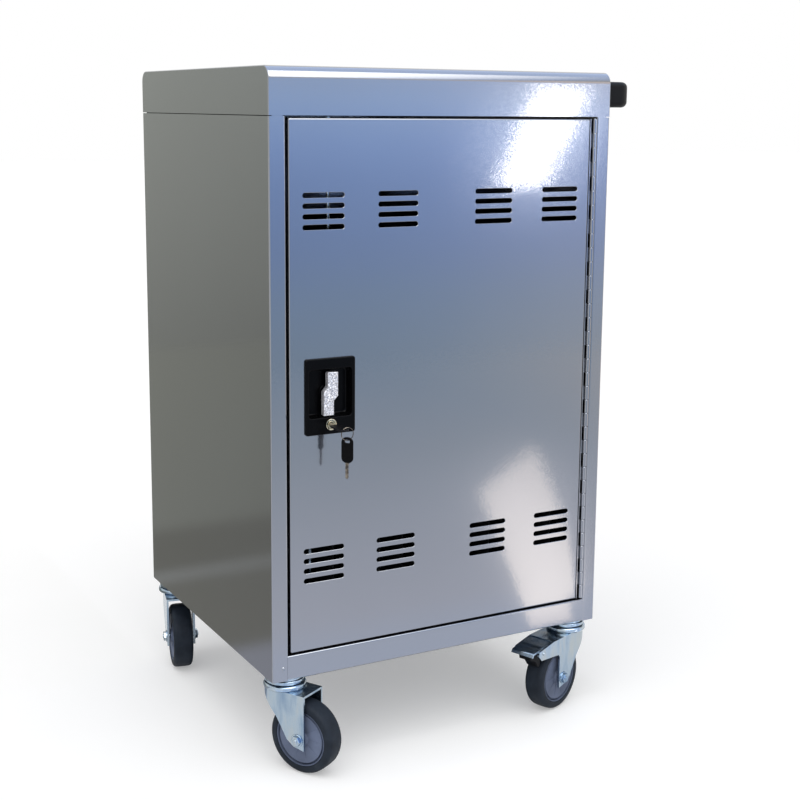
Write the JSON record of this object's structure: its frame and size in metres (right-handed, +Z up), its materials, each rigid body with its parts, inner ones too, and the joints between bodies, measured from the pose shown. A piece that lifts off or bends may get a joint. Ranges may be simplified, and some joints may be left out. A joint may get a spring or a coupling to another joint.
{
  "type": "laptop charging cart",
  "caption": "Steel laptop charging cart on swivel casters with a lockable vented front door, rear door, divider racks, power strips and a side push handle.",
  "frame": {"origin": "on the floor, under the middle of the whole cart's bounding box", "axes": "+X to the side with the push handle, +Y to the rear door, +Z up"},
  "size_m": [0.5856, 0.5407, 0.93],
  "materials": {
    "silver_paint": "gloss metallic",
    "zinc": "bright zinc plate",
    "steel": "satin",
    "die_cast": "sparkling silver coat",
    "black_plastic": "matt",
    "gloss_black": "gloss",
    "dark_plastic": "matt",
    "wheel_core": "satin",
    "tyre": "matt"
  },
  "bodies": {
    "cabinet": {"left_side_panel": "silver_paint", "right_side_panel": "silver_paint", "base_pan": "silver_paint", "top_cap": "silver_paint", "push_handle": "black_plastic", "device_shelf": "silver_paint", "cable_partition": "silver_paint", "lower_divider_rack": "dark_plastic", "upper_divider_rack": "dark_plastic", "lower_power_strip": "dark_plastic", "upper_power_strip": "dark_plastic", "power_inlet": "black_plastic", "front_hinge_frame_leaf": "silver_paint", "front_hinge_pin": "steel", "rear_hinge_frame_leaf": "silver_paint", "rear_hinge_pin": "steel", "front_left_caster_stem": "zinc", "front_right_caster_stem": "zinc", "back_left_caster_stem": "zinc", "back_right_caster_stem": "zinc"},
    "front_door": {"front_door": "silver_paint", "front_hinge_door_leaf": "silver_paint", "lock_housing": "gloss_black", "upper_rod_guide": "zinc", "lower_rod_guide": "zinc", "lock_barrel": "steel"},
    "lock_handle": {"lock_handle": "die_cast", "lock_cam": "zinc"},
    "upper_rod": {"upper_lock_rod": "zinc"},
    "lower_rod": {"lower_lock_rod": "zinc"},
    "key": {"lock_plug": "steel", "front_key_blade": "steel", "front_key_head": "black_plastic"},
    "key_ring": {"key_ring": "steel"},
    "spare_key": {"spare_key_head": "black_plastic", "spare_key_blade": "steel"},
    "rear_door": {"rear_door": "silver_paint", "rear_hinge_door_leaf": "silver_paint", "rear_lock_barrel": "steel"},
    "rear_cam": {"rear_lock_cam": "zinc"},
    "lower_switch": {"lower_strip_switch": "black_plastic"},
    "upper_switch": {"upper_strip_switch": "black_plastic"},
    "front_left_fork": {"front_left_fork": "zinc", "front_left_axle": "zinc"},
    "front_left_wheel": {"front_left_wheel": "wheel_core", "front_left_tyre": "tyre"},
    "front_right_fork": {"front_right_fork": "zinc", "front_right_axle": "zinc"},
    "front_right_wheel": {"front_right_wheel": "wheel_core", "front_right_tyre": "tyre"},
    "front_right_brake_pedal": {"front_right_brake_pedal": "zinc"},
    "back_left_fork": {"back_left_fork": "zinc", "back_left_axle": "zinc"},
    "back_left_wheel": {"back_left_wheel": "wheel_core", "back_left_tyre": "tyre"},
    "back_right_fork": {"back_right_fork": "zinc", "back_right_axle": "zinc"},
    "back_right_wheel": {"back_right_wheel": "wheel_core", "back_right_tyre": "tyre"},
    "back_right_brake_pedal": {"back_right_brake_pedal": "zinc"}
  },
  "joints": [
    {"name": "front_door_hinge", "type": "hinge", "parent": "cabinet", "child": "front_door", "pos_m": [0.2078, -0.2196, 0.5], "axis": [0, 0, 1], "range_deg": [0, 140]},
    {"name": "lock_handle_turn", "type": "hinge", "parent": "front_door", "child": "lock_handle", "pos_m": [-0.2035, -0.22, 0.513], "axis": [0, -1, 0], "range_deg": [0, 90]},
    {"name": "upper_rod_slide", "type": "slide", "parent": "front_door", "child": "upper_rod", "axis": [0, 0, 1], "range_m": [0, 0.014]},
    {"name": "lower_rod_slide", "type": "slide", "parent": "front_door", "child": "lower_rod", "axis": [0, 0, -1], "range_m": [0, 0.01401]},
    {"name": "key_turn", "type": "hinge", "parent": "front_door", "child": "key", "pos_m": [-0.2035, -0.22, 0.4726], "axis": [0, 1, 0], "range_deg": [0, 90]},
    {"name": "key_ring_hang", "type": "hinge", "parent": "key", "child": "key_ring", "pos_m": [-0.2035, -0.2595, 0.4726], "axis": [0, 1, 0], "range_deg": [-90.1, 0.1]},
    {"name": "spare_key_swing", "type": "hinge", "parent": "key_ring", "child": "spare_key", "pos_m": [-0.19749, -0.2595, 0.45809], "axis": [1, 0, 0], "range_deg": [-20, 20]},
    {"name": "rear_door_hinge", "type": "hinge", "parent": "cabinet", "child": "rear_door", "pos_m": [-0.2618, 0.2596, 0.5], "axis": [0, 0, 1], "range_deg": [0, 140]},
    {"name": "rear_cam_turn", "type": "hinge", "parent": "rear_door", "child": "rear_cam", "pos_m": [0.173, 0.26, 0.513], "axis": [0, -1, 0], "range_deg": [0, 90]},
    {"name": "lower_switch_rock", "type": "hinge", "parent": "cabinet", "child": "lower_switch", "pos_m": [0.179, 0.1748, 0.33025], "axis": [1, 0, 0], "range_deg": [0, 16]},
    {"name": "upper_switch_rock", "type": "hinge", "parent": "cabinet", "child": "upper_switch", "pos_m": [0.179, 0.1748, 0.699], "axis": [1, 0, 0], "range_deg": [0, 16]},
    {"name": "front_left_swivel", "type": "hinge", "parent": "cabinet", "child": "front_left_fork", "pos_m": [-0.257, -0.192, 0.13], "axis": [0, 0, 1], "continuous": true},
    {"name": "front_left_roll", "type": "hinge", "parent": "front_left_fork", "child": "front_left_wheel", "pos_m": [-0.2395, -0.22231, 0.04957], "axis": [0.866, 0.5, 0], "continuous": true},
    {"name": "front_right_swivel", "type": "hinge", "parent": "cabinet", "child": "front_right_fork", "pos_m": [0.203, -0.192, 0.13], "axis": [0, 0, 1], "continuous": true},
    {"name": "front_right_roll", "type": "hinge", "parent": "front_right_fork", "child": "front_right_wheel", "pos_m": [0.17033, -0.20454, 0.04957], "axis": [0.3584, -0.9336, 0], "continuous": true},
    {"name": "front_right_brake", "type": "hinge", "parent": "front_right_fork", "child": "front_right_brake_pedal", "pos_m": [0.1214, -0.22332, 0.102], "axis": [0.3584, -0.9336, 0], "range_deg": [0, 14]},
    {"name": "back_left_swivel", "type": "hinge", "parent": "cabinet", "child": "back_left_fork", "pos_m": [-0.257, 0.232, 0.13], "axis": [0, 0, 1], "continuous": true},
    {"name": "back_left_roll", "type": "hinge", "parent": "back_left_fork", "child": "back_left_wheel", "pos_m": [-0.26487, 0.1979, 0.04957], "axis": [0.9744, -0.225, 0], "continuous": true},
    {"name": "back_right_swivel", "type": "hinge", "parent": "cabinet", "child": "back_right_fork", "pos_m": [0.203, 0.232, 0.13], "axis": [0, 0, 1], "continuous": true},
    {"name": "back_right_roll", "type": "hinge", "parent": "back_right_fork", "child": "back_right_wheel", "pos_m": [0.16853, 0.23808, 0.04957], "axis": [-0.1736, -0.9848, 0], "continuous": true},
    {"name": "back_right_brake", "type": "hinge", "parent": "back_right_fork", "child": "back_right_brake_pedal", "pos_m": [0.11693, 0.24718, 0.102], "axis": [-0.1736, -0.9848, 0], "range_deg": [0, 14]}
  ],
  "couplings": [
    {"joint": "lock_handle_turn", "follows": "upper_rod_slide", "rad_per_m": 112.19},
    {"joint": "lower_rod_slide", "follows": "upper_rod_slide", "ratio": 1},
    {"joint": "key_ring_hang", "follows": "key_turn", "ratio": -1}
  ]
}
